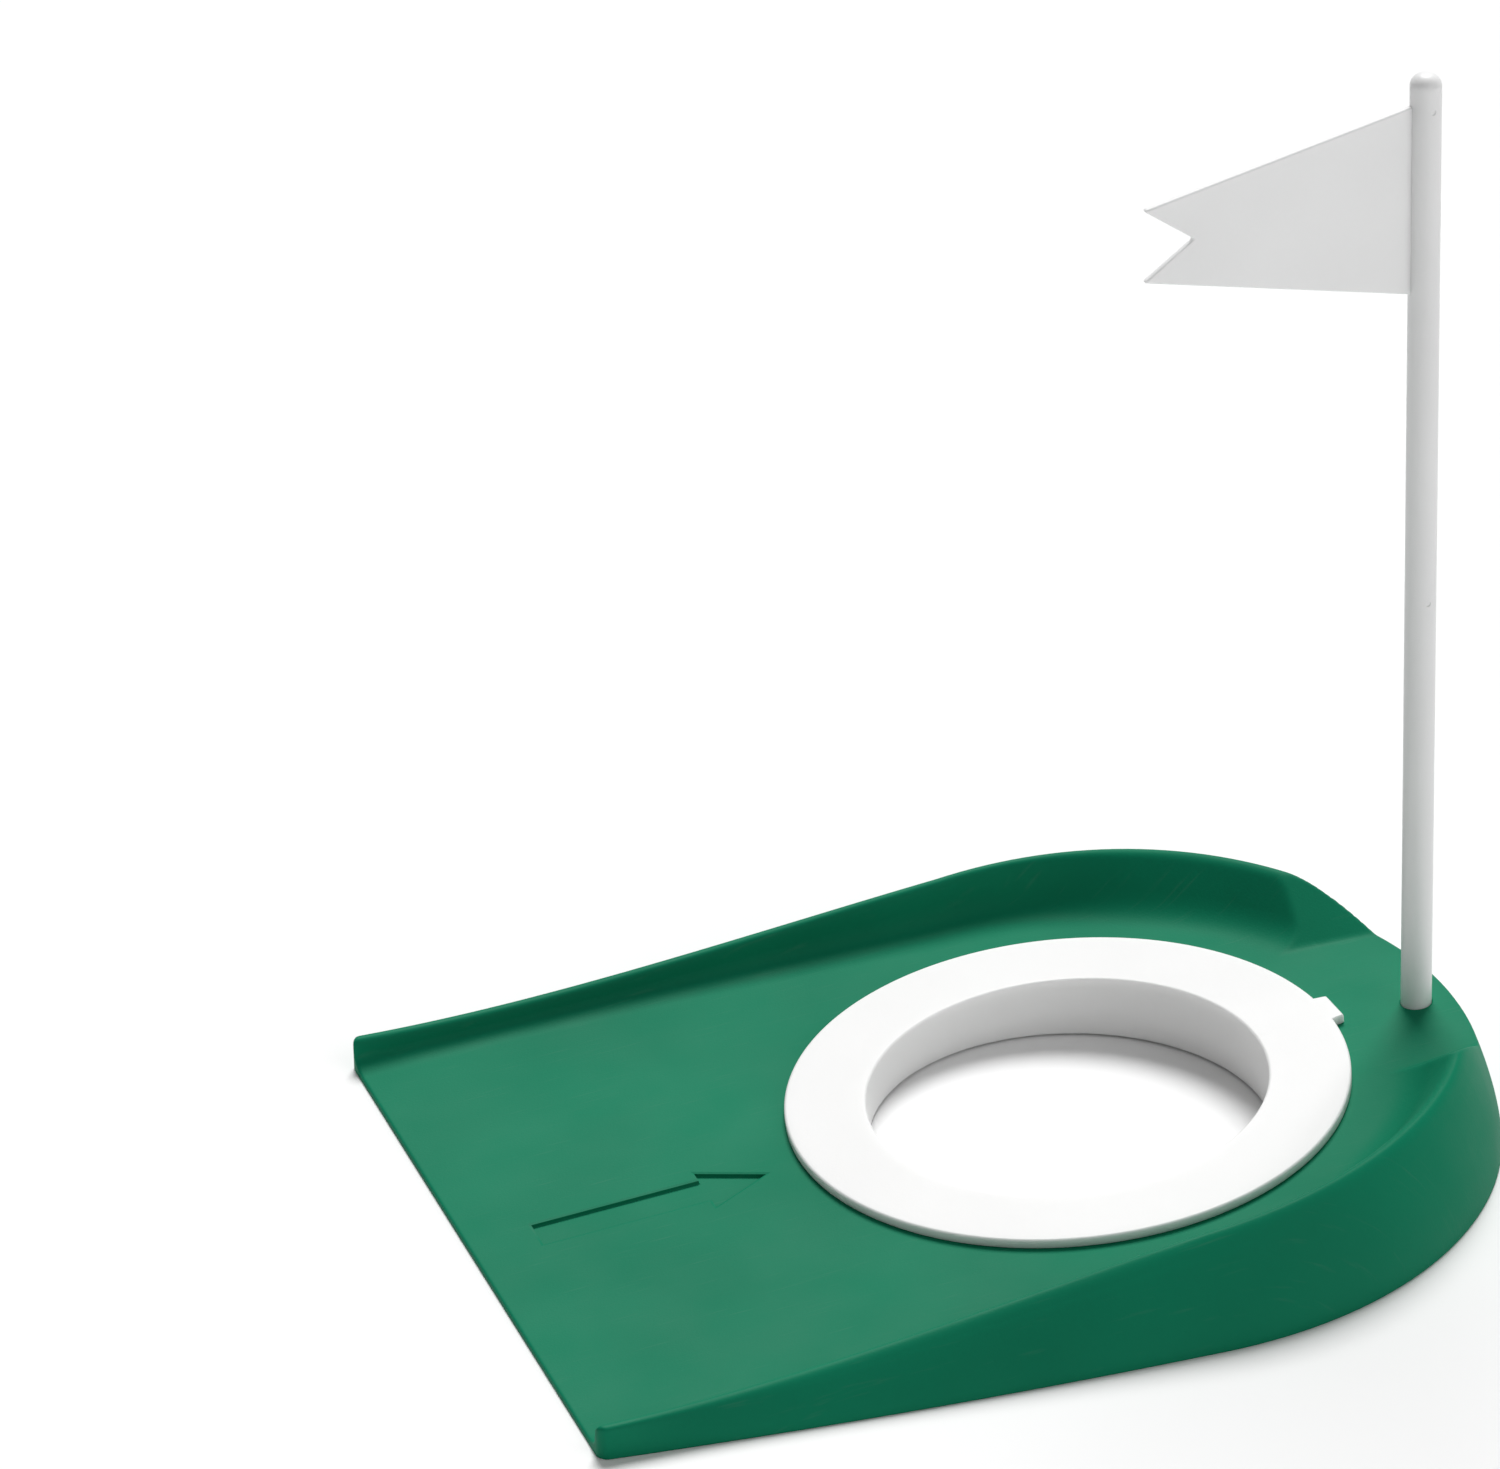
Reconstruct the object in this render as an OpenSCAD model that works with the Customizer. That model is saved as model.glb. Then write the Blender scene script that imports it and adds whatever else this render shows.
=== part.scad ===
// Practice putting mat: a moulded ramp tray with two side walls, a drop-in hole ring and a plug-in flag.
// +X is the putting direction, +Y the player's left, +Z up. All sizes are in millimetres.
// The origin is on the floor, at the middle of the tray's length and width.

/* [Tray] */
// Length of the tray along the putting direction
tray_len = 284; // [280:1:290]
// Width of the tray at the floor, where its round rear is widest
tray_w = 232; // [228:1:236]
// Width of the front edge at the floor
front_w = 214; // [210:1:218]
// Thickness of the moulded shell
shell = 2.2; // [1.8:0.1:2.4]
// Height of the front lip
lip_h = 1.5; // [1.3:0.1:2]
// Slope of the ramp
ramp_deg = 4.2; // [4:0.1:4.6]
// Radius of the front corners, seen from above
corner_r = 3; // [1:0.5:4]

/* [Side walls] */
// Height of the walls at the front edge
wall_front_h = 9.3; // [8.5:0.1:10]
// Height of the walls at the rear
wall_rear_h = 33.5; // [32:0.5:35]
// Length over which the walls rise
rise_len = 256; // [250:1:262]
// Half the distance between the two crests at the front edge
crest_front = 105.5; // [104:0.5:106]
// The same beside the hole, where the walls turn into the round rear
crest_mid = 100.5; // [100:0.5:102]
// Radius of the crest where the walls end
crest_rear = 104; // [103:0.5:105]
// Width of the crest
crest_w = 3; // [2.5:0.1:3.2]
// How far the inner faces lean out beside the ramp
lean_side = 1.5; // [1:0.1:2]
// How far they lean out round the rear
lean_rear = 10.5; // [9:0.5:11]

/* [Rear opening] */
// Distance of the left wall's end from the centre line, at the ramp
gate_left = 39.5; // [36:0.5:42]
// The same for the right wall's end
gate_right = 31; // [29:0.5:40]
// Slope of the cut wall ends
gate_deg = 37; // [32:1:42]
// Turn of the cut wall ends about the vertical
gate_turn = 12; // [0:1:20]

/* [Hole ring] */
// Diameter of the hole, the size of a regulation cup
hole_d = 108; // [108:1:108]
// Outer diameter of the flange
flange_d = 152; // [148:1:154]
// Thickness of the flange
flange_t = 2.8; // [2:0.1:3.2]
// Thickness of the ring's wall
ring_wall = 2.5; // [2:0.1:2.8]
// Radial gap between the ring's wall and the tray
ring_gap = 0.5; // [0.4:0.1:0.8]
// Width of the lifting tab
tab_w = 11; // [9:0.5:13]
// How far the tab stands out from the flange
tab_out = 3.2; // [2.5:0.1:4]
// Turn of the ring in its seat
tab_turn = 3; // [0:1:5]

/* [Flag] */
// Diameter of the pole
pole_d = 8.4; // [8:0.1:9]
// Height of the pole's top above the floor
pole_top = 296; // [294:1:299]
// Distance of the pole from the centre of the hole
pole_out = 100.5; // [98:0.5:102]
// Radial gap between the pole and its socket
pole_gap = 0.08; // [0.05:0.01:0.1]
// Drop from the pole's top to the pennant's upper corner
pennant_drop = 8.5; // [8:0.5:14]
// Height of the pennant at the pole
pennant_h = 53.5; // [48:0.5:58]
// Height of the pennant at its tips
pennant_fly = 20.5; // [18:0.5:26]
// Length of the pennant from the pole to its tips
pennant_len = 74; // [68:0.5:78]
// Depth of the notch between the tips
notch = 14; // [8:0.5:16]
// Thickness of the pennant
pennant_t = 1.8; // [1.5:0.1:2.2]

/* [Direction arrow] */
// Distance of the arrow's point from the centre of the hole
arrow_tip = 86; // [84:1:90]
// Length of the whole arrow
arrow_len = 64; // [56:1:68]
// Length of the arrow's head
head_len = 17; // [15:1:20]
// Width of the arrow's head
head_w = 18; // [16:1:20]
// Width of the arrow's shaft
shaft_w = 10.5; // [8:0.5:12]
// Depth of the arrow in the ramp
arrow_deep = 1.2; // [0.6:0.1:1.4]

/* [Hidden] */
$fn = 96;
front_x = -tray_len / 2;
rear_r = tray_w / 2;
hole_x = tray_len / 2 - rear_r;
pole_x = hole_x + pole_out;
pole_r = pole_d / 2;
flange_r = flange_d / 2;
hole_r = hole_d / 2;
seat_r = hole_r + ring_wall + ring_gap;
far = 400;                  // longer than any size of the tray
side_step = 24;             // spacing of the wall's sections beside the ramp
turn_step = 10;             // and their angle round the rear
profile_pts = 3;            // steps in the outer face of a section
profile_power = 1.5;        // how strongly the outer face bulges
crest_drop = 1.2;           // height of the crest's rounding
sunk = 1.5;                 // depth to which the inner face carries on below the ramp
plan_r = rear_r - 12.5;     // radius of the ramp's solid, which ends inside the walls
hollow_r = rear_r - 26;     // and of the hollow under it
plan_step = 0.5;            // how much narrower both are in front of the hole
core_x = hole_x - 140;      // where the hollow inside the walls starts
core_drop = 5;              // solid height left under the crest
core_in = 16;               // reach of that hollow under the ramp
core_low = 0.4;             // and how far it stays below the ramp's own hollow
floor_gap = 0.6;            // clearance of the ring's wall and the ribs above the floor
rib_t = 1.8;
collar_t = 2.2;
boss_r = 8;
socket_z = 3;
rest_gap = 0.05;            // gap where a lift-off piece rests
edge_r = 0.7;               // rounding of the ring's edges
dome_r = 3.4;               // rounding of the pole's top
slot_deep = 2.6;            // depth of the pennant's slot in the pole
arc_pts = 4;

function ramp_z(x) = lip_h + (x - front_x) * tan(ramp_deg);
function smooth(u) = let (v = max(0, min(1, u))) v * v * (3 - 2 * v);
function arc(cx, cy, r, from, to) =
    [for (k = [0 : arc_pts]) let (a = from + (to - from) * k / arc_pts) [cx + r * cos(a), cy + r * sin(a)]];

// ---- one section of the side wall, as [distance from the centre line or centre, height] ----
// A station is [x of its origin, direction of its section, in degrees from +X]. Beside the ramp the
// direction is square to the centre line, and round the rear it points out from the hole's centre.
function at_side(st) = st[0] < hole_x;
function turned(st) = at_side(st) ? 0 : (90 - abs(st[1])) / 60;
function base_d(st) = at_side(st)
    ? rear_r - (rear_r - front_w / 2) * pow((st[0] - hole_x) / (front_x - hole_x), 2)
    : rear_r;
function crest_d(st) = at_side(st)
    ? crest_mid + (crest_front - crest_mid) * (st[0] - hole_x) / (front_x - hole_x)
    : crest_mid + (crest_rear - crest_mid) * min(1, turned(st));
function inner_d(st) = crest_d(st) - crest_w / 2 - lean_side
    - (lean_rear - lean_side) * smooth(turned(st) * 60 / 45);
function x_of(st, d) = st[0] + d * cos(st[1]);
function crest_z(st) = wall_front_h
    + (wall_rear_h - wall_front_h) * smooth((x_of(st, crest_d(st)) - front_x) / rise_len);
function outer_face(base, top, h) =
    [for (k = [0 : profile_pts]) let (u = k / profile_pts)
        [base - (base - top) * pow(u, profile_power), h * u]];

// The outside of the wall, solid down to the floor. Its inner face carries on below the ramp.
function wall_section(st) = let (
    c = crest_d(st), z = crest_z(st), a = inner_d(st), w = crest_w / 2, foot = ramp_z(x_of(st, a)),
    lean = (c - w - a) / (z - crest_drop - foot))
    concat(
        [[a - sunk * lean, 0]],
        outer_face(base_d(st), c + w, z - crest_drop),
        [[c, z], [c - w, z - crest_drop]],
        [[a - sunk * lean, foot - sunk]]);

// The hollow inside it, which reaches under the ramp. It tapers to a point in front.
function core_section(st) = let (
    c = crest_d(st) + 0.8, z = crest_z(st) - core_drop, a = inner_d(st) + 1.15 * shell, w = 0.8,
    foot = ramp_z(x_of(st, a)) - shell, lean = (c - w - a) / (z - foot), far_in = a - core_in,
    grow = st[0] > core_x ? 1 : 0.04)
    [for (p = concat(
        [[far_in, -1], [base_d(st) - 1.1 * shell, -1]],
        outer_face(base_d(st) - 1.1 * shell, c + w, z),
        [[c - w, z], [a - core_low * lean, foot - core_low]],
        [[far_in, ramp_z(x_of(st, far_in)) - shell - core_low]]))
        [far_in + grow * (p[0] - far_in), grow * (p[1] + 1) - 1]];

// Stations from one front corner, round the rear, to the other
function stations(start) = let (n = ceil((hole_x - start) / side_step), xs = [for (k = [0 : n - 1])
        start + (hole_x - start) * k / n])
    concat([for (x = xs) [x, -90]],
        [for (a = [-90 : turn_step : 90]) [hole_x, a]],
        [for (k = [n - 1 : -1 : 0]) [xs[k], 90]]);
function place(st, p) = [st[0] + p[0] * cos(st[1]), p[0] * sin(st[1]), p[1]];

module loft(rows) {
    n = len(rows);
    m = len(rows[0]);
    polyhedron(
        points = [for (row = rows) each row],
        faces = concat(
            [[for (k = [m - 1 : -1 : 0]) k]],
            [for (i = [0 : n - 2], k = [0 : m - 1]) each let (
                p = i * m + k, q = i * m + (k + 1) % m)
                [[p, q, p + m], [q, q + m, p + m]]],
            [[for (k = [0 : m - 1]) (n - 1) * m + k]]));
}

// ---- half spaces ----
module on_ramp(x) {
    translate([x, 0, ramp_z(x)]) rotate([0, -ramp_deg, 0]) children();
}
module above_ramp(g) {
    on_ramp(hole_x) translate([-far, -far, -g]) cube([2 * far, 2 * far, 100]);
}
module below_ramp(g) {
    on_ramp(hole_x) translate([-far, -far, -g - 100]) cube([2 * far, 2 * far, 100]);
}

// The opening between the wall ends, grown by g on all sides
module gate_side(half, g) {
    x = hole_x + 86;
    translate([x, half, ramp_z(x)]) rotate([0, 0, -90 - gate_turn]) rotate([0, gate_deg, 0])
        translate([-far, -far, -g]) cube([2 * far, 2 * far, far]);
}
module gate(g) {
    intersection() {
        above_ramp(g);
        gate_side(gate_left, g);
        mirror([0, 1, 0]) gate_side(gate_right, g);
        translate([hole_x + 40, -far, 0]) cube([far, 2 * far, 100]);
    }
}

// ---- tray ----
module ramp_solid(r, g) {
    half = r - plan_step;
    intersection() {
        translate([0, 0, -g]) linear_extrude(60) {
            translate([front_x + g, -half]) square([hole_x - front_x - g, 2 * half]);
            translate([hole_x, 0]) circle(r);
        }
        below_ramp(g);
    }
}
module outside() {
    ramp_solid(plan_r, 0);
    difference() {
        loft([for (st = stations(front_x)) [for (p = wall_section(st)) place(st, p)]]);
        gate(0);
    }
}
module inside() {
    ramp_solid(hollow_r, shell);
    difference() {
        loft([for (st = stations(core_x)) [for (p = core_section(st)) place(st, p)]]);
        gate(shell + core_low);
    }
}
module corner_trim() {
    translate([front_x, -front_w / 2, -1]) difference() {
        translate([-1, -1, 0]) cube([corner_r + 1, corner_r + 1, 30]);
        translate([corner_r, corner_r, -1]) cylinder(r = corner_r, h = 32);
    }
}
module ribs() {
    for (a = [45, 135, 225, 315])
        translate([hole_x, 0, floor_gap]) rotate([0, 0, a]) translate([seat_r + 1, -rib_t / 2, 0])
            cube([60, rib_t, 40]);
    translate([hole_x + seat_r + 1, -rib_t / 2, floor_gap]) cube([rear_r - seat_r - 3, rib_t, 40]);
    on_ramp(hole_x) translate([0, 0, -40]) cylinder(r = seat_r + collar_t, h = 50);
    translate([pole_x, 0, 0]) cylinder(r = boss_r, h = 40);
}
module arrow() {
    on_ramp(hole_x) translate([0, 0, -arrow_deep]) linear_extrude(5) polygon([
        [-arrow_tip, 0],
        [-arrow_tip - head_len, head_w / 2],
        [-arrow_tip - head_len, shaft_w / 2],
        [-arrow_tip - arrow_len, shaft_w / 2],
        [-arrow_tip - arrow_len, -shaft_w / 2],
        [-arrow_tip - head_len, -shaft_w / 2],
        [-arrow_tip - head_len, -head_w / 2]]);
}
module tray() {
    color("seagreen") difference() {
        outside();
        difference() {
            inside();
            ribs();
        }
        on_ramp(hole_x) translate([0, 0, -40]) cylinder(r = seat_r, h = 60);
        translate([pole_x, 0, socket_z]) cylinder(r = pole_r + pole_gap, h = 40);
        arrow();
        corner_trim();
        mirror([0, 1, 0]) corner_trim();
    }
}

// ---- hole ring: a flange on the ramp and a wall down to the floor, cut level ----
module hole_ring() {
    color("white") intersection() {
        on_ramp(hole_x) union() {
            rotate_extrude() polygon(concat(
                [[hole_r, -30]],
                arc(hole_r + edge_r, flange_t - edge_r, edge_r, 180, 90),
                arc(flange_r - edge_r, flange_t - edge_r, edge_r, 90, 0),
                [[flange_r, rest_gap], [hole_r + ring_wall, rest_gap], [hole_r + ring_wall, -30]]));
            rotate([0, 0, tab_turn]) translate([flange_r - 5, -tab_w / 2, rest_gap])
                cube([5 + tab_out, tab_w, flange_t - rest_gap]);
        }
        translate([-far, -far, floor_gap]) cube([2 * far, 2 * far, 100]);
    }
}

// ---- flag ----
module pennant_slot() {
    translate([pole_x - pole_r - 1, -pennant_t / 2, pole_top - pennant_drop - pennant_h])
        cube([slot_deep + 1, pennant_t, pennant_h]);
}
module flag_pole() {
    color("gainsboro") difference() {
        translate([pole_x, 0, 0]) rotate_extrude() polygon(concat(
            [[0, socket_z + rest_gap], [pole_r, socket_z + rest_gap]],
            arc(pole_r - dome_r, pole_top - dome_r, dome_r, 0, 90),
            [[0, pole_top]]));
        pennant_slot();
    }
}
module pennant() {
    top = pole_top - pennant_drop;
    mid = top - pennant_h / 2;
    hoist_x = pole_x - pole_r + slot_deep;
    tip_x = pole_x - pole_r - pennant_len;
    color("whitesmoke") translate([0, pennant_t / 2, 0]) rotate([90, 0, 0])
        linear_extrude(pennant_t) polygon([
        [hoist_x, top],
        [pole_x - pole_r, top],
        [tip_x, mid + pennant_fly / 2],
        [tip_x + notch, mid],
        [tip_x, mid - pennant_fly / 2],
        [pole_x - pole_r, top - pennant_h],
        [hoist_x, top - pennant_h]]);
}

tray();
hole_ring();
flag_pole();
pennant();
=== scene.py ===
import math

import bmesh
import bpy
import numpy as np
from mathutils import Matrix, Vector


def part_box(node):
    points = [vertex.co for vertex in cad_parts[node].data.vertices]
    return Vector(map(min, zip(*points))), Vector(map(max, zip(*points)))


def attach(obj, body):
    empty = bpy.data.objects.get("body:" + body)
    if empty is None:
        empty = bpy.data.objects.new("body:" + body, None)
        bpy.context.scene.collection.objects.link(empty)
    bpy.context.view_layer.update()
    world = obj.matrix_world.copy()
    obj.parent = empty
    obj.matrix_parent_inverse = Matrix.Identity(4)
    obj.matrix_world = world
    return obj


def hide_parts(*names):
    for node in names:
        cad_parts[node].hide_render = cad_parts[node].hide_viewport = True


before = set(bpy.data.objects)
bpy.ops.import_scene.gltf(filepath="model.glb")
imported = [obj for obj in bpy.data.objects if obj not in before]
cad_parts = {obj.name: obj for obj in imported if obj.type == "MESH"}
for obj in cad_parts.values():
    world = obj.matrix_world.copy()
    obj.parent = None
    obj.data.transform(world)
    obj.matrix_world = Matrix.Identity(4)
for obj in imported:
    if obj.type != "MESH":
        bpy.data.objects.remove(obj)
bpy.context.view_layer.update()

# The putting mat's looks: the tray, the hole ring and the flag, on a pale studio floor.
# Every size is in millimetres until a mesh is made from it.
MM = 0.001

# ---- sizes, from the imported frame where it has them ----
tray_low, tray_high = (Vector(corner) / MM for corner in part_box("tray"))
ring_high = Vector(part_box("hole_ring")[1]) / MM
pole_low, pole_high = (Vector(corner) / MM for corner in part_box("flag_pole"))
pennant_low, pennant_high = (Vector(corner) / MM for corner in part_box("pennant"))

FRONT_X = tray_low.x
REAR_R = tray_high.y
HOLE_X = tray_high.x - REAR_R
FRONT_W = 214
CORNER_R = 3
SHELL = 2.2
LIP_H = 1.5
TILT = math.radians(4.2)        # of the ramp
RAMP_SLOPE = math.tan(TILT)

WALL_FRONT_H = 9.3
WALL_REAR_H = 33.5
RISE_LEN = 256
CREST_FRONT, CREST_MID, CREST_REAR = 105.5, 100.5, 104
CREST_W = 3
LEAN_SIDE, LEAN_REAR = 1.5, 10.5
CREST_TURN, LEAN_TURN = 60, 45  # how far round the rear, in degrees, the crest and the lean change
FOOT_FILLET = 6.5
FULL_WALL = 7                   # a wall that stands lower than this has a smaller fillet
CREST_ROUND, CREST_SIDE = 1.42, 2.4
BULGE = 1.5                     # of the outer face, where 1 is straight
START_D = 66                    # where the walls' sections begin, on the ramp

GATE_LEFT, GATE_RIGHT = 39.5, 31
GATE_X = HOLE_X + 86
GATE_SLOPE = math.tan(math.radians(37))
GATE_TURN = math.radians(12)
GATE_BLEND = 0.9
END_ROUND = 1.2

# the hollow inside the walls
CORE_DEPTH = 5                  # from the crest down to its roof
CORE_ROOF = 1.6                 # the roof's width
CORE_MIN_W = 1.8
CORE_FADE, CORE_FADE_LEN = 14, 24   # where it starts behind the front edge, and the length it grows over

HOLE_R = 54
FLANGE_R = ring_high.y
FLANGE_T = 2.8
RING_WALL = 2.5
SEAT_R = HOLE_R + RING_WALL + 0.5
TAB_W, TAB_OUT, TAB_TURN = 11, 3.2, 3
EDGE_ROUND = 0.7                # of the ring's upper edges and the seat's mouth
BEVEL, BEVEL_MID = 0.35, 0.1    # of the edges next to the floor: its reach, and its middle point
FLOOR_GAP = 0.6
REST_GAP = 0.05

POLE_X = (pole_low.x + pole_high.x) / 2
POLE_R = (pole_high.x - pole_low.x) / 2
POLE_DOME = 3.4
POLE_FOOT_ROUND = 0.5
SOCKET_R = POLE_R + 0.08
SOCKET_Z = 3
SOCKET_ROUND = 0.4
BOSS_R = 8
CUT_LOW, CUT_HIGH, SOCKET_CUT_HIGH = -45, 6, 40     # how far the cutters reach, past the tray
MARK_DROPS = (9.4, 152)         # small moulding marks on the pole, below its top
MARK_SIDE = (0.13, -0.99, 0)
MARK_R, MARK_MOUTH_R, MARK_DEEP = 0.7, 0.95, 0.3

PENNANT_HALF_TIP, PENNANT_NOTCH = 10.25, 14
PENNANT_EDGE, PENNANT_CORNER_R = 0.45, 1.2

ARROW_TIP, ARROW_LEN, ARROW_DEEP = 86, 64, 1.2
ARROW_EDGE, ARROW_EDGE_DEEP = 0.75, 0.24    # the bevel round its mouth
HEAD_LEN, HEAD_W, SHAFT_W = 17, 18, 10.5

RIB_T = 1.8
RIB_START = SEAT_R + 1          # from the hole's centre
RIB_SINK, BOSS_SINK = 1, 1.2    # from the ramp's upper face down to their tops
REAR_RIBS, FRONT_RIBS = (45, -45, 0), (135, -135)
FRONT_RIB_LEN = 60
COLLAR_R = SEAT_R + 2.2

# ---- looks ----
PLASTIC_IOR = 1.49
GLOW_DEPTH = 0.003
GRAIN_DEPTH = 0.00008
SLOW, UNEVEN, SCRATCHY, PEBBLED, FINE = 14, 45, 60, 120, 1500   # how fine each noise is
SCUFF_COLOR, SCUFF_SHARE, SCUFF_ROUGH = 0.6, 0.25, 0.35
FLOOR_SIZE = 6000
FLOOR_COLOR = (0.9, 0.9, 0.9, 1)
SKY = 0.22
KEY = ((0.27, 0.64, 1.0), 28, 3.2)      # where it stands, its softness in degrees, and its strength
FILL = ((0.55, -0.8, 0.4), 60, 0.66)

# ---- camera ----
AZIMUTH, ELEVATION, ROLL = (math.radians(a) for a in (18.47, 28.44, -1.46))
TARGET, DISTANCE, LENS = Vector((-0.0377, 0.0697, 0.1005)), 2.6727, 240


def smooth(u):
    """Eases from 0 to 1 while u goes from 0 to 1."""
    v = min(1.0, max(0.0, u))
    return v * v * (3 - 2 * v)


def ramp_z(x):
    """The height of the ramp's upper face."""
    return LIP_H + (x - FRONT_X) * RAMP_SLOPE


def on_ramp(x):
    """Matrix of a frame that lies on the ramp's middle line."""
    return Matrix.Translation((x, 0, ramp_z(x))) @ Matrix.Rotation(-TILT, 4, "Y")


def near_floor(x):
    """The level just above the floor, seen from the ramp's frame at the hole, x along the ramp."""
    return (FLOOR_GAP - ramp_z(HOLE_X) - x * math.sin(TILT)) / math.cos(TILT)


# ---- mesh helpers ----
def make_mesh(name, points, faces):
    mesh = bpy.data.meshes.new(name)
    mesh.from_pydata([Vector(p) * MM for p in points], [], faces)
    mesh.validate()
    mesh.update()
    return mesh


def make_object(name, points, faces, matrix=None):
    """A closed object with its place in its mesh."""
    if matrix is not None:
        points = [matrix @ Vector(p) for p in points]
    obj = bpy.data.objects.new(name, make_mesh(name, points, faces))
    bpy.context.scene.collection.objects.link(obj)
    bm = bmesh.new()
    bm.from_mesh(obj.data)
    outlines = [face for face in bm.faces if len(face.verts) > 4]
    bmesh.ops.triangulate(bm, faces=outlines, ngon_method="EAR_CLIP")
    bmesh.ops.recalc_face_normals(bm, faces=bm.faces)
    if bm.calc_volume(signed=True) < 0:
        bmesh.ops.reverse_faces(bm, faces=bm.faces)
    bm.to_mesh(obj.data)
    bm.free()
    return obj


def lathe(name, profile, steps=128, matrix=None):
    """Revolves [radius, height] points about the Z axis. They start and end on the axis, or form a loop."""
    points, rings = [], []
    for r, z in profile:
        if r < 1e-6:
            rings.append([len(points)] * steps)
            points.append((0, 0, z))
            continue
        first = len(points)
        for i in range(steps):
            a = 2 * math.pi * i / steps
            points.append((r * math.cos(a), r * math.sin(a), z))
        rings.append(list(range(first, first + steps)))
    on_axis = profile[0][0] < 1e-6
    pairs = list(zip(rings, rings[1:])) + ([] if on_axis else [(rings[-1], rings[0])])
    faces = []
    for low, high in pairs:
        for i in range(steps):
            j = (i + 1) % steps
            face = []
            for v in (low[i], low[j], high[j], high[i]):
                if v not in face:
                    face.append(v)
            if len(face) > 2:
                faces.append(face)
    return make_object(name, points, faces, matrix)


def prism(name, rows, matrix=None):
    """Joins outlines of equal length, given as lists of 3D points, and closes both ends."""
    n = len(rows[0])
    points = [p for row in rows for p in row]
    faces = [list(range(n))[::-1], [(len(rows) - 1) * n + i for i in range(n)]]
    for k in range(len(rows) - 1):
        for i in range(n):
            j = (i + 1) % n
            faces.append([k * n + i, k * n + j, (k + 1) * n + j, (k + 1) * n + i])
    return make_object(name, points, faces, matrix)


def arc(cx, cy, r, start, end, steps=5):
    """Points on an arc, in degrees."""
    turn = [math.radians(start + (end - start) * i / steps) for i in range(steps + 1)]
    return [(cx + r * math.cos(a), cy + r * math.sin(a)) for a in turn]


def bend(before, corner, after, reach, steps, reach_after=None):
    """Rounds a corner: a curve from reach before it to reach, or reach_after, after it."""
    before, corner, after = (np.array(p, float) for p in (before, corner, after))
    a = corner + (before - corner) * min(reach / np.linalg.norm(before - corner), 0.48)
    b = corner + (after - corner) * min((reach_after or reach) / np.linalg.norm(after - corner), 0.48)
    ts = [i / steps for i in range(steps + 1)]
    return [(1 - t) ** 2 * a + 2 * t * (1 - t) * corner + t * t * b for t in ts]


def between(a, b, count):
    """count points strictly between a and b."""
    a, b = np.array(a, float), np.array(b, float)
    return [a + (b - a) * (i + 1) / (count + 1) for i in range(count)]


def combine(target, cutter, how):
    """Applies a boolean and removes the cutter."""
    mod = target.modifiers.new("cut", "BOOLEAN")
    mod.object = cutter
    mod.operation = how
    mod.solver = "EXACT"
    bpy.context.view_layer.update()
    graph = bpy.context.evaluated_depsgraph_get()
    mesh = bpy.data.meshes.new_from_object(target.evaluated_get(graph))
    target.modifiers.remove(mod)
    target.data = mesh
    bpy.data.objects.remove(cutter)


def shade(obj, sharp_deg=32):
    """Smooth shading with crisp edges, and normals that keep the flat faces flat."""
    obj.data.shade_smooth()
    obj.data.set_sharp_from_angle(angle=math.radians(sharp_deg))
    mod = obj.modifiers.new("flat faces", "WEIGHTED_NORMAL")
    mod.keep_sharp = True
    mod.weight = 80


# ---- the side wall's section ----
def base_d(x0):
    """From the middle line, or round the rear from the hole's centre, to the outer face at the floor."""
    if x0 >= HOLE_X:
        return REAR_R
    return REAR_R - (REAR_R - FRONT_W / 2) * ((x0 - HOLE_X) / (FRONT_X - HOLE_X)) ** 2


def crest_d(x0, deg):
    """The same to the middle of the crest."""
    if x0 < HOLE_X:
        return CREST_MID + (CREST_FRONT - CREST_MID) * (x0 - HOLE_X) / (FRONT_X - HOLE_X)
    return CREST_MID + (CREST_REAR - CREST_MID) * min(1, (90 - deg) / CREST_TURN)


def inner_d(x0, deg):
    """The same to the wall's foot on the ramp."""
    turned = 0 if x0 < HOLE_X else (90 - deg) / LEAN_TURN
    return crest_d(x0, deg) - CREST_W / 2 - LEAN_SIDE - (LEAN_REAR - LEAN_SIDE) * smooth(turned)


def gate_rise(x, y):
    """How far above the ramp the walls are left standing. It is nothing between their ends."""
    half = GATE_LEFT if y > 0 else GATE_RIGHT
    across = (x - GATE_X) * math.sin(GATE_TURN) + (abs(y) - half) * math.cos(GATE_TURN)
    rise = ramp_z(GATE_X) + GATE_SLOPE * across - ramp_z(x)
    h = min(1.0, max(0.0, 0.5 + 0.5 * rise / GATE_BLEND))
    return rise * h + GATE_BLEND * h * (1 - h)


def soft_min(a, b, k):
    """The smaller of a and b, rounded where they are less than k apart."""
    h = min(1.0, max(0.0, 0.5 + 0.5 * (b - a) / k))
    return b * (1 - h) + a * h - k * h * (1 - h)


def wall_at(x0, deg):
    """A station's direction outwards, as its x and y parts, and the wall there: the distances of its base,
    crest and foot, and its height."""
    turn = math.radians(deg)
    along, across = (math.cos(turn), math.sin(turn)) if x0 >= HOLE_X else (0.0, 1.0)
    crest = crest_d(x0, deg)
    risen = smooth((x0 + crest * along - FRONT_X) / RISE_LEN)
    top = WALL_FRONT_H + (WALL_REAR_H - WALL_FRONT_H) * risen
    return along, across, base_d(x0), crest, inner_d(x0, deg), top


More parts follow.
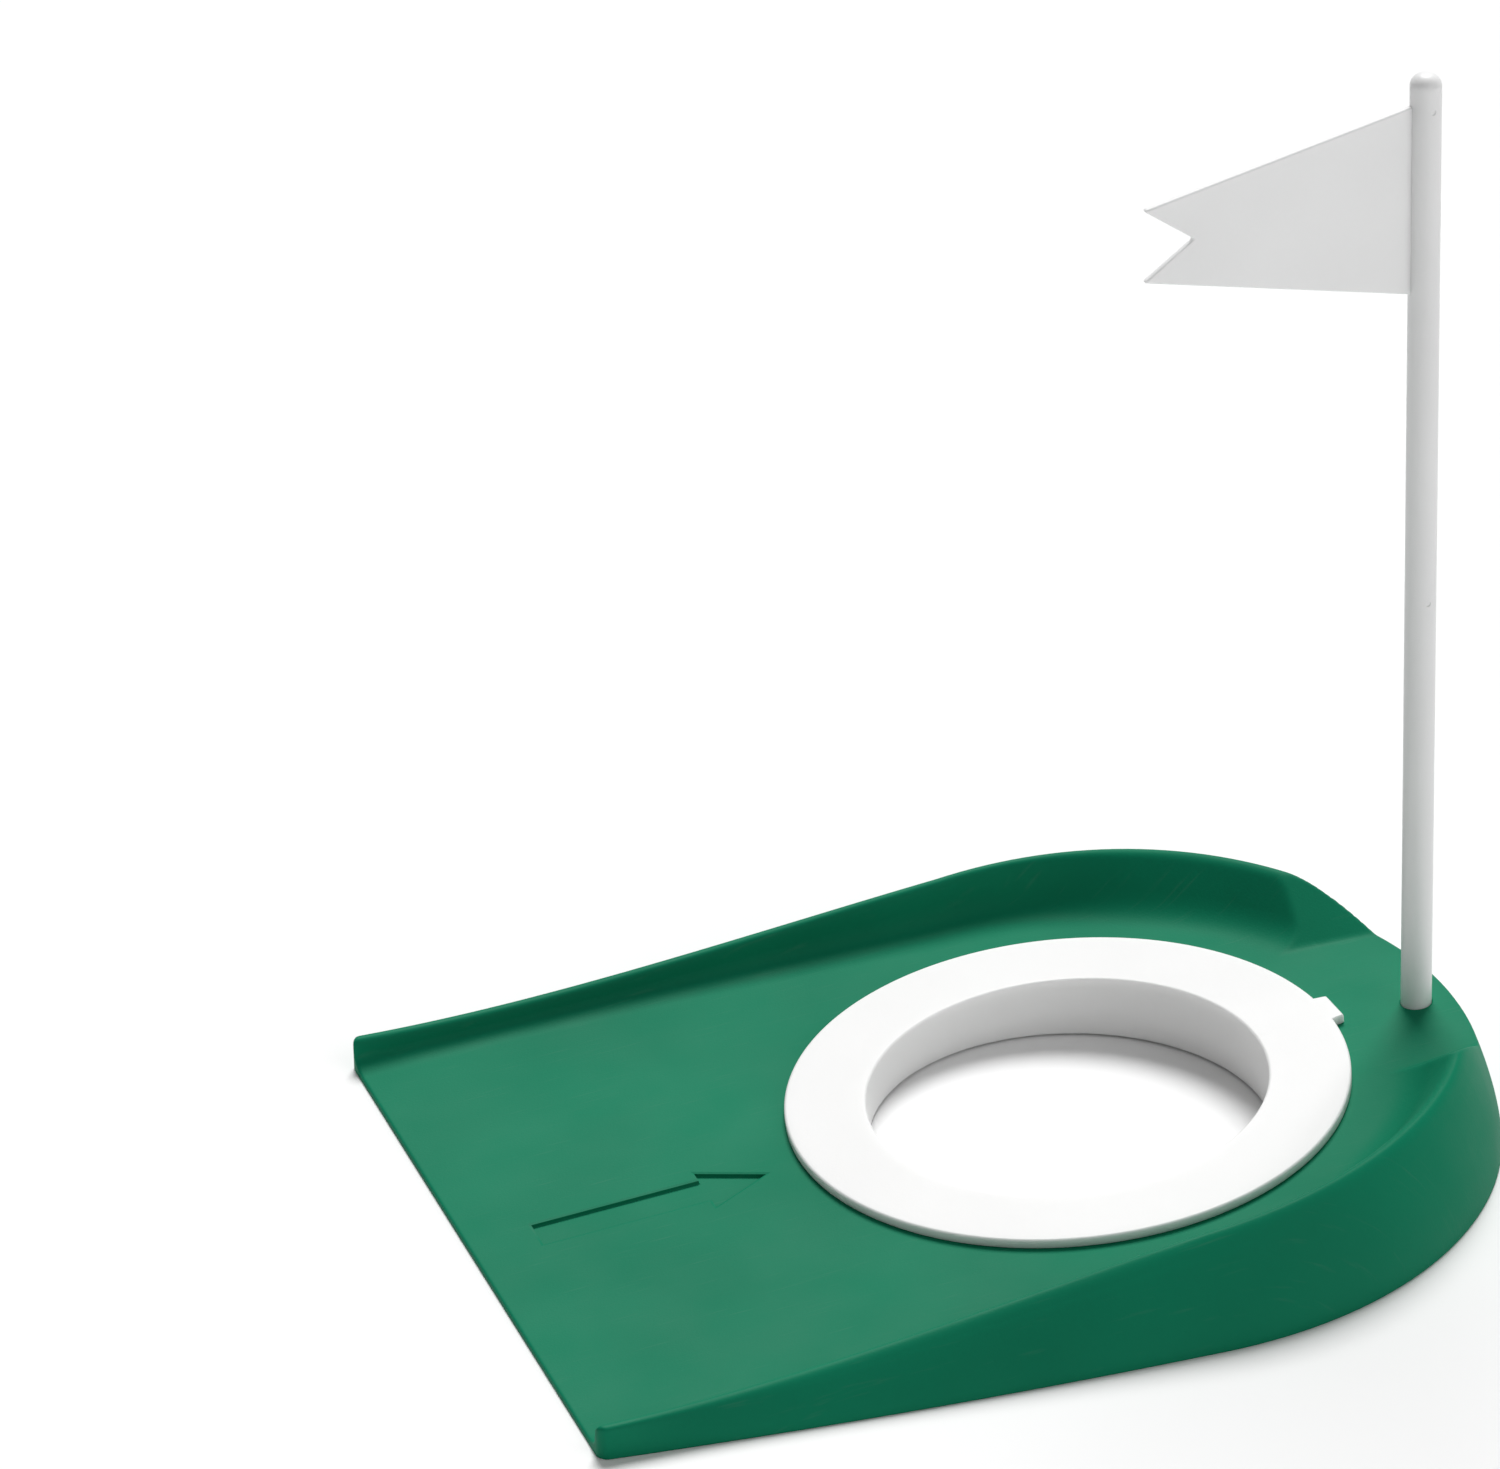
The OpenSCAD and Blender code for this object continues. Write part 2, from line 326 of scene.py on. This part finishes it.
def top_section(x0, deg, side):
    """The wall's section at a station, from the ramp over the crest to the floor, as [distance, height]."""
    along, across, base, crest, foot, top = wall_at(x0, deg)

    def ramp(d):
        return ramp_z(x0 + d * along)

    start, foot_p = (START_D, ramp(START_D)), (foot, ramp(foot))
    crest_in, crest_out = (crest - CREST_W / 2, top), (crest + CREST_W / 2, top)

    def outer(u):
        return np.array((base - (base - crest_out[0]) * u ** BULGE, top * u))

    fillet = bend(start, foot_p, crest_in, FOOT_FILLET * min(1, (top - foot_p[1]) / FULL_WALL), 7)
    crest_a = bend(foot_p, crest_in, crest_out, CREST_SIDE, 7, CREST_ROUND)
    crest_b = bend(crest_in, crest_out, outer(0.7), CREST_ROUND, 9, 2 * CREST_SIDE)
    inner = [np.array(start)] + between(start, fillet[0], 7) + fillet \
        + between(fillet[-1], crest_a[0], 9) + crest_a
    face = [outer(u) for u in np.linspace(0.84, 0.03, 24)]
    bevel = [np.array((base, BEVEL)), np.array((base - BEVEL_MID, BEVEL_MID))]

    points = []
    for i, (d, z) in enumerate(inner + crest_b + face + bevel):
        level, blend = ramp(d), END_ROUND
        rise = z - level
        if i < len(inner):
            blend *= min(1, max(0.02, rise / 3))
        if i >= len(inner) or rise > 0.005:
            z = level + soft_min(rise, gate_rise(x0 + d * along, side * d * across), blend)
        points.append([d, max(z, 0.0)])
    return points


def under_section(x0, deg, side):
    """The same for the hollow below, from the floor back in under the ramp."""
    along, across, base, crest, foot, top = wall_at(x0, deg)

    def bare(d):
        return ramp_z(x0 + d * along) - SHELL

    rim, roof = base - 1.1 * SHELL, top - CORE_DEPTH
    core_d = min(crest, rim - CORE_MIN_W)
    core_in, core_out = (core_d, roof), (core_d + CORE_ROOF, roof)
    foot_d = min(foot + 1.15 * SHELL, core_d - 0.4)
    foot_p, start = (foot_d, bare(foot_d)), (START_D, bare(START_D))
    up = [np.array((rim - (rim - core_out[0]) * u ** BULGE, roof * u)) for u in np.linspace(0, 0.92, 9)]
    lower = [np.array((base - 0.4, 0))] + up + bend(up[-1], core_out, core_in, 0.7, 3) \
        + bend(core_out, core_in, foot_p, 0.7, 3) + bend(core_in, foot_p, start, 2, 4) \
        + between(foot_p, start, 4) + [np.array(start)]

    grown = smooth((x0 - FRONT_X - CORE_FADE) / CORE_FADE_LEN)
    points = []
    for d, z in lower:
        level = bare(d)
        if z > level:
            rise = soft_min(z - level, gate_rise(x0 + d * along, side * d * across) - 0.2, 2.0)
            z = max(level, (level + max(0.0, rise)) * grown)
        points.append([d, max(z, 0.0)])
    return points


def front_shaped(x, d, z, base):
    """Rounds the front corners, seen from above, and the front edge, seen from the side."""
    t = x - FRONT_X
    if t < CORNER_R and d > base - CORNER_R:
        left = math.sqrt(CORNER_R ** 2 - (CORNER_R - t) ** 2) + 0.05
        d = base - CORNER_R + (d - base + CORNER_R) * min(1, left / CORNER_R)
    edge = min(1.8, 0.8 + 0.3 * max(0, z - 2))      # small on the lip, larger on the walls' ends
    if t < edge and z > edge:
        z -= (edge - math.sqrt(edge ** 2 - (edge - t) ** 2)) * min(1, (z - edge) / edge)
    return d, z


def stations():
    """[x, degrees] of the sections on one side, from the front corner to the middle of the rear."""
    near = [0, 0.05, 0.15, 0.3, 0.5, 0.8, 1.2, 1.7, 2.3, 3]     # closer together round the front edge
    count = round((HOLE_X - FRONT_X - near[-1]) / 3)
    step = (HOLE_X - FRONT_X - near[-1]) / count
    sides = near + [near[-1] + step * (i + 1) for i in range(count - 1)]
    # and where the walls end
    turns = [*np.arange(90, 40, -2.0), *np.arange(40, 14, -0.35), *np.arange(14, 0, -1.0), 0.0]
    return [(FRONT_X + t, 90.0) for t in sides], [(HOLE_X, float(a)) for a in turns]


def tray_body():
    """The sections of both sides, joined, and closed above, below and in front."""
    side, rear = stations()
    rows = []
    for sign, half in ((-1, side + rear), (1, (side + rear)[-2::-1])):
        for x0, deg in half:
            row = []
            for d, z in top_section(x0, deg, sign) + under_section(x0, deg, sign):
                if x0 < HOLE_X:
                    d, z = front_shaped(x0, d, z, base_d(x0))
                    row.append((x0, sign * d, z))
                else:
                    a = math.radians(deg)
                    row.append((x0 + d * math.cos(a), sign * d * math.sin(a), z))
            rows.append(row)
    total, count = len(rows), len(rows[0])
    points = [p for row in rows for p in row]

    def v(i, k):
        return i * count + k

    faces = [[v(i, k), v(i, k + 1), v(i + 1, k + 1), v(i + 1, k)]
             for i in range(total - 1) for k in range(count - 1)]
    n = len(side)
    for k, turn in ((0, 1), (count - 1, -1)):
        for i in range(n):
            faces.append([v(i, k), v(i + 1, k), v(total - 2 - i, k), v(total - 1 - i, k)][::turn])
        faces.append([v(i, k) for i in range(n, total - n)][::turn])
    faces.append([v(0, k) for k in range(count)] + [v(total - 1, k) for k in range(count)][::-1])
    return make_object("tray_shell", points, faces)


def floor_cylinder(name, r, top_w):
    """A solid cylinder square to the ramp, cut level just above the floor."""
    steps, low, high = 128, [], []
    for i in range(steps):
        a = 2 * math.pi * i / steps
        x, y = r * math.cos(a), r * math.sin(a)
        low.append((x, y, near_floor(x)))
        high.append((x, y, top_w))
    return prism(name, [low, high], on_ramp(HOLE_X))


def rib(deg, outline):
    """An upright plate along a direction from the hole's centre."""
    a = math.radians(deg)
    along, across = Vector((math.cos(a), math.sin(a), 0)), Vector((-math.sin(a), math.cos(a), 0))
    rows = []
    for side in (-RIB_T / 2, RIB_T / 2):
        middle = Vector((HOLE_X, 0, 0)) + across * side
        rows.append([middle + along * d + Vector((0, 0, z)) for d, z in outline])
    return prism("rib", rows)


def rear_rib(deg):
    """From the collar to the inside of the wall, under the ramp, and a little into both."""
    inside = [p for p in under_section(HOLE_X, abs(deg), 1 if deg > 0 else -1) if p[0] < REAR_R - 1]
    grown = []
    for i, p in enumerate(inside):
        q, r = np.array(inside[max(i - 1, 0)]), np.array(inside[min(i + 1, len(inside) - 1)])
        along = (r - q) / max(np.linalg.norm(r - q), 1e-6)
        grown.append((p[0] + along[1] * 0.8, max(p[1] - along[0] * 0.8, FLOOR_GAP)))
    start_top = ramp_z(HOLE_X + RIB_START * math.cos(math.radians(deg))) - RIB_SINK
    return rib(deg, [(RIB_START, FLOOR_GAP), *grown, (RIB_START, start_top)])


def front_rib(deg):
    """From the collar towards a front corner."""
    end = RIB_START + FRONT_RIB_LEN
    along = math.cos(math.radians(deg))
    end_top, start_top = (ramp_z(HOLE_X + d * along) - RIB_SINK for d in (end, RIB_START))
    return rib(deg, [(RIB_START, FLOOR_GAP), (end, FLOOR_GAP), (end, end_top), (RIB_START, start_top)])


def area(outline):
    return sum(p[0] * q[1] - q[0] * p[1] for p, q in zip(outline, outline[1:] + outline[:1])) / 2


def offset_outline(outline, gap):
    """Moves each side of a closed anticlockwise outline outwards by gap."""
    moved, n = [], len(outline)
    for i in range(n):
        p, q, r = (np.array(outline[j % n], float) for j in (i - 1, i, i + 1))
        a, b = (q - p) / np.linalg.norm(q - p), (r - q) / np.linalg.norm(r - q)
        na, nb = np.array((a[1], -a[0])), np.array((b[1], -b[0]))
        moved.append(q + (na + nb) * gap / (1 + na @ nb))
    return moved


def arrow_cutter():
    """The sunken arrow, which points up the ramp at the hole."""
    tip, head = -ARROW_TIP, -ARROW_TIP - HEAD_LEN
    tail = -ARROW_TIP - ARROW_LEN
    outline = [(tip, 0), (head, HEAD_W / 2), (head, SHAFT_W / 2), (tail, SHAFT_W / 2),
               (tail, -SHAFT_W / 2), (head, -SHAFT_W / 2), (head, -HEAD_W / 2)]
    rows = []
    for gap, w in ((-0.3, -ARROW_DEEP), (0, -ARROW_DEEP * 0.75), (0.06, -ARROW_EDGE_DEEP),
                   (ARROW_EDGE, 0), (ARROW_EDGE, 2)):
        rows.append([(x, y, w) for x, y in offset_outline(outline, gap)])
    return prism("arrow", rows, on_ramp(HOLE_X))


def socket_cutter():
    """The pole's socket, with a rounded mouth that follows the ramp."""
    rim, edge = ramp_z(POLE_X), SOCKET_ROUND
    profile = [(0, SOCKET_Z), (SOCKET_R, SOCKET_Z), *arc(SOCKET_R + edge, rim - edge, edge, 180, 90, 4),
               (SOCKET_R + edge, SOCKET_CUT_HIGH), (0, SOCKET_CUT_HIGH)]
    cutter = lathe("socket", profile, 64, Matrix.Translation((POLE_X, 0, 0)))
    for vertex in cutter.data.vertices:
        if vertex.co.z > 2 * SOCKET_Z * MM:
            vertex.co.z += (vertex.co.x - POLE_X * MM) * RAMP_SLOPE
    return cutter


def build_tray():
    tray = tray_body()
    boss_top = ramp_z(POLE_X) - BOSS_SINK
    boss = [(0, 0), (BOSS_R, 0), (BOSS_R, boss_top), (0, boss_top)]
    combine(tray, floor_cylinder("collar", COLLAR_R, -RIB_SINK), "UNION")
    combine(tray, lathe("boss", boss, 64, Matrix.Translation((POLE_X, 0, 0))), "UNION")
    for deg in REAR_RIBS:
        combine(tray, rear_rib(deg), "UNION")
    for deg in FRONT_RIBS:
        combine(tray, front_rib(deg), "UNION")
    seat = [(0, CUT_LOW), (SEAT_R, CUT_LOW), *arc(SEAT_R + EDGE_ROUND, -EDGE_ROUND, EDGE_ROUND, 180, 90, 4),
            (SEAT_R + EDGE_ROUND, CUT_HIGH), (0, CUT_HIGH)]
    combine(tray, lathe("seat", seat, 256, on_ramp(HOLE_X)), "DIFFERENCE")
    combine(tray, socket_cutter(), "DIFFERENCE")
    combine(tray, arrow_cutter(), "DIFFERENCE")
    shade(tray)
    return tray


# ---- hole ring ----
def ring_edge(deg):
    """The flange's outer radius at an angle, with the lifting tab."""
    a = math.radians(deg - TAB_TURN)
    y = FLANGE_R * math.sin(a)
    if math.cos(a) < 0:
        return FLANGE_R
    out = smooth((TAB_W / 2 + 0.5 - abs(y)) / 1.0)
    return FLANGE_R + out * ((FLANGE_R + TAB_OUT) / math.cos(a) - FLANGE_R)


def build_ring():
    """A flange that lies on the ramp, and a wall down through the hole."""
    near_tab = [TAB_TURN + s * t for s in (-1, 1) for t in np.arange(3.2, 5.0, 0.1)]
    angles = sorted(set([i * 1.25 for i in range(288)] + [a % 360 for a in near_tab]))
    top, edge, outside = FLANGE_T, EDGE_ROUND, HOLE_R + RING_WALL
    rows = []
    for deg in angles:
        a = math.radians(deg)
        out = ring_edge(deg)
        in_low, out_low = near_floor(HOLE_R * math.cos(a)), near_floor(outside * math.cos(a))
        profile = [(HOLE_R + BEVEL, in_low), (HOLE_R + BEVEL_MID, in_low + BEVEL_MID),
                   (HOLE_R, in_low + BEVEL), (HOLE_R, top - 3),
                   *arc(HOLE_R + edge, top - edge, edge, 180, 90, 6),
                   (HOLE_R + 4, top), (out - 4, top), *arc(out - edge, top - edge, edge, 90, 0, 6),
                   (out, 0.4), *arc(out - 0.3, REST_GAP + 0.3, 0.3, 0, -90, 3), (out - 4, REST_GAP),
                   (outside + 1.2, REST_GAP), (outside + 0.2, REST_GAP - 0.3), (outside, -1.2),
                   (outside, out_low + BEVEL), (outside - BEVEL_MID, out_low + BEVEL_MID),
                   (outside - BEVEL, out_low)]
        rows.append([(r * math.cos(a), r * math.sin(a), w) for r, w in profile])
    n, total = len(rows[0]), len(rows)
    points = [p for row in rows for p in row]
    faces = []
    for i in range(total):
        j = (i + 1) % total
        for k in range(n):
            m = (k + 1) % n
            faces.append([i * n + k, j * n + k, j * n + m, i * n + m])
    ring = make_object("hole_ring_shell", points, faces, on_ramp(HOLE_X))
    shade(ring)
    return ring


# ---- flag ----
def build_pole():
    """A round rod with a domed top and two moulding marks."""
    low, high, foot = pole_low.z, pole_high.z, POLE_FOOT_ROUND
    profile = [(0, low), (POLE_R - foot, low), *arc(POLE_R - foot, low + foot, foot, -90, 0, 3)[1:]]
    profile += [(POLE_R, low + (high - POLE_DOME - low) * (i + 1) / 13) for i in range(12)]
    profile += arc(POLE_R - POLE_DOME, high - POLE_DOME, POLE_DOME, 0, 86, 12) + [(0, high)]
    pole = lathe("pole_rod", profile, 96, Matrix.Translation((POLE_X, 0, 0)))
    bottom, mouth = POLE_R - MARK_DEEP, POLE_R + 1
    mark = [(0, bottom), (MARK_R, bottom), (MARK_MOUTH_R, mouth), (0, mouth)]
    side = Vector(MARK_SIDE).to_track_quat("Z", "Y").to_matrix().to_4x4()
    for drop in MARK_DROPS:
        place = Matrix.Translation((POLE_X, 0, high - drop)) @ side
        combine(pole, lathe("mark", mark, 24, place), "DIFFERENCE")
    shade(pole, 40)
    return pole


def build_pennant():
    """A plate with rounded corners and a notch at its free end."""
    low, high = pennant_low, pennant_high
    mid, near = (low.z + high.z) / 2, POLE_X - POLE_R
    half_hoist, half_tip = (high.z - low.z) / 2, PENNANT_HALF_TIP
    corners = [(high.x, mid + half_hoist), (near, mid + half_hoist), (low.x, mid + half_tip),
               (low.x + PENNANT_NOTCH, mid), (low.x, mid - half_tip), (near, mid - half_hoist),
               (high.x, mid - half_hoist)]
    corners = corners[::-1] if area(corners) < 0 else corners
    edge = PENNANT_EDGE
    rows = [(inset, low.y + y) for inset, y in ((edge, 0), (edge * 0.3, edge * 0.3), (0, edge))]
    rows += [(inset, low.y + high.y - y) for inset, y in rows[::-1]]
    rings = []
    for inset, y in rows:
        moved = offset_outline(corners, -inset)
        ring = []
        for i, corner in enumerate(moved):
            ring += bend(moved[i - 1], corner, moved[(i + 1) % len(moved)], PENNANT_CORNER_R - inset, 4)
        rings.append([(x, y, z) for x, z in ring])
    pennant = prism("pennant_sheet", rings)
    shade(pennant, 50)
    return pennant


# ---- materials ----
def plastic(name, color, rough, grain=0.5, tint=0.06, scuff=0.1, shine=0.5, glow=0.0):
    """Moulded plastic: slow colour variation, a fine grain, uneven gloss and faint scuffs."""
    mat = bpy.data.materials.new(name)
    mat.use_nodes = True
    tree = mat.node_tree
    nodes, links = tree.nodes, tree.links
    shader = nodes["Principled BSDF"]
    shader.inputs["IOR"].default_value = PLASTIC_IOR
    shader.inputs["Specular IOR Level"].default_value = shine
    shader.inputs["Subsurface Weight"].default_value = glow
    shader.inputs["Subsurface Radius"].default_value = (1, 1, 1)
    shader.inputs["Subsurface Scale"].default_value = GLOW_DEPTH
    coord = nodes.new("ShaderNodeTexCoord")

    def noise(scale, detail=3.0, stretch=(1, 1, 1), rotate=0.0):
        place = nodes.new("ShaderNodeMapping")
        place.inputs["Scale"].default_value = stretch
        place.inputs["Rotation"].default_value = (0, 0, rotate)
        links.new(coord.outputs["Object"], place.inputs["Vector"])
        tex = nodes.new("ShaderNodeTexNoise")
        tex.inputs["Scale"].default_value = scale
        tex.inputs["Detail"].default_value = detail
        links.new(place.outputs["Vector"], tex.inputs["Vector"])
        return tex.outputs["Fac"]

    def spread(value, low, high, to_low, to_high):
        node = nodes.new("ShaderNodeMapRange")
        node.inputs["From Min"].default_value = low
        node.inputs["From Max"].default_value = high
        node.inputs["To Min"].default_value = to_low
        node.inputs["To Max"].default_value = to_high
        links.new(value, node.inputs["Value"])
        return node.outputs["Result"]

    def mix(value, a, b):
        node = nodes.new("ShaderNodeMix")
        node.data_type = "RGBA"
        links.new(value, node.inputs["Factor"])
        for socket, c in ((node.inputs[6], a), (node.inputs[7], b)):
            if isinstance(c, tuple):
                socket.default_value = (*c, 1)
            else:
                links.new(c, socket)
        return node.outputs[2]

    def add(a, b):
        node = nodes.new("ShaderNodeMath")
        node.operation = "ADD"
        links.new(a, node.inputs[0])
        links.new(b, node.inputs[1])
        return node.outputs[0]

    light = tuple(min(1, c * (1 + tint)) for c in color)
    dark = tuple(c * (1 - tint) for c in color)
    pale = tuple(c + (SCUFF_COLOR - c) * SCUFF_SHARE for c in color)
    body = mix(spread(noise(SLOW, 2), 0.35, 0.65, 0, 1), dark, light)
    scuffs = spread(noise(SCRATCHY, 4, (1.0, 22.0, 1.0), 0.12), 0.62, 0.78, 0, scuff)
    links.new(mix(scuffs, body, pale), shader.inputs["Base Color"])

    gloss = spread(noise(UNEVEN, 4), 0.3, 0.7, rough - 0.05, rough + 0.05)
    links.new(add(gloss, spread(scuffs, 0, 1, 0, SCUFF_ROUGH)), shader.inputs["Roughness"])

    bump = nodes.new("ShaderNodeBump")
    bump.inputs["Strength"].default_value = grain
    bump.inputs["Distance"].default_value = GRAIN_DEPTH
    links.new(add(noise(FINE), spread(noise(PEBBLED, 2), 0, 1, 0, 0.6)), bump.inputs["Height"])
    links.new(bump.outputs["Normal"], shader.inputs["Normal"])
    return mat


# ---- floor, light and camera ----
def build_floor():
    size = FLOOR_SIZE
    corners = [(-size, -size, 0), (size, -size, 0), (size, size, 0), (-size, size, 0)]
    floor = make_object("floor", corners, [[0, 1, 2, 3]])
    mat = bpy.data.materials.new("floor")
    mat.use_nodes = True
    shader = mat.node_tree.nodes["Principled BSDF"]
    shader.inputs["Base Color"].default_value = FLOOR_COLOR
    shader.inputs["Roughness"].default_value = 0.8
    shader.inputs["Specular IOR Level"].default_value = 0.2
    floor.data.materials.append(mat)


def sun(name, towards, soft_deg, power):
    light = bpy.data.lights.new(name, "SUN")
    light.angle = math.radians(soft_deg)
    light.energy = power
    obj = bpy.data.objects.new(name, light)
    obj.rotation_euler = Vector(towards).to_track_quat("Z", "Y").to_euler()
    bpy.context.scene.collection.objects.link(obj)


def build_light():
    world = bpy.data.worlds.new("studio")
    bpy.context.scene.world = world
    world.use_nodes = True
    back = world.node_tree.nodes["Background"]
    back.inputs["Color"].default_value = (1, 1, 1, 1)
    back.inputs["Strength"].default_value = SKY
    sun("key", *KEY)
    sun("fill", *FILL)
    bpy.context.scene.view_settings.view_transform = "Standard"


def build_camera():
    forward = Vector((math.sin(AZIMUTH) * math.cos(ELEVATION), math.cos(AZIMUTH) * math.cos(ELEVATION),
                      -math.sin(ELEVATION)))
    right = Vector((math.cos(AZIMUTH), -math.sin(AZIMUTH), 0))
    up = right.cross(forward)
    right_r = right * math.cos(ROLL) + up * math.sin(ROLL)
    up_r = up * math.cos(ROLL) - right * math.sin(ROLL)
    data = bpy.data.cameras.new("camera")
    data.sensor_width = 36
    data.lens = LENS
    data.clip_end = 50
    camera = bpy.data.objects.new("camera", data)
    turn = Matrix((right_r, up_r, -forward)).transposed()
    camera.matrix_world = Matrix.Translation(TARGET - forward * DISTANCE) @ turn.to_4x4()
    bpy.context.scene.collection.objects.link(camera)
    bpy.context.scene.camera = camera


# ---- put together ----
green = plastic("green_plastic", (0.002, 0.186, 0.096), 0.55, shine=0.08)
white = plastic("white_plastic", (0.81, 0.81, 0.805), 0.4, 0.3, tint=0.02, scuff=0.02, shine=0.3, glow=0.7)
rod = plastic("rod_plastic", (0.84, 0.84, 0.84), 0.4, 0.3, tint=0.02, scuff=0.03, shine=0.35, glow=0.3)
sheet = plastic("sheet_plastic", (0.86, 0.86, 0.86), 0.45, 0.3, tint=0.02, scuff=0.02, shine=0.35, glow=0.4)
PIECES = [
    (build_tray, "tray", "tray", "tray_plastic", green),
    (build_ring, "ring", "hole_ring", "ring_plastic", white),
    (build_pole, "flag", "flag_pole", "pole_plastic", rod),
    (build_pennant, "flag", "pennant", "pennant_plastic", sheet),
]
for build, body, node, slot, material in PIECES:
    piece = build()
    piece.data.materials.clear()
    piece.data.materials.append(material)
    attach(piece, body)
    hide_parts(node)

build_floor()
build_light()
build_camera()
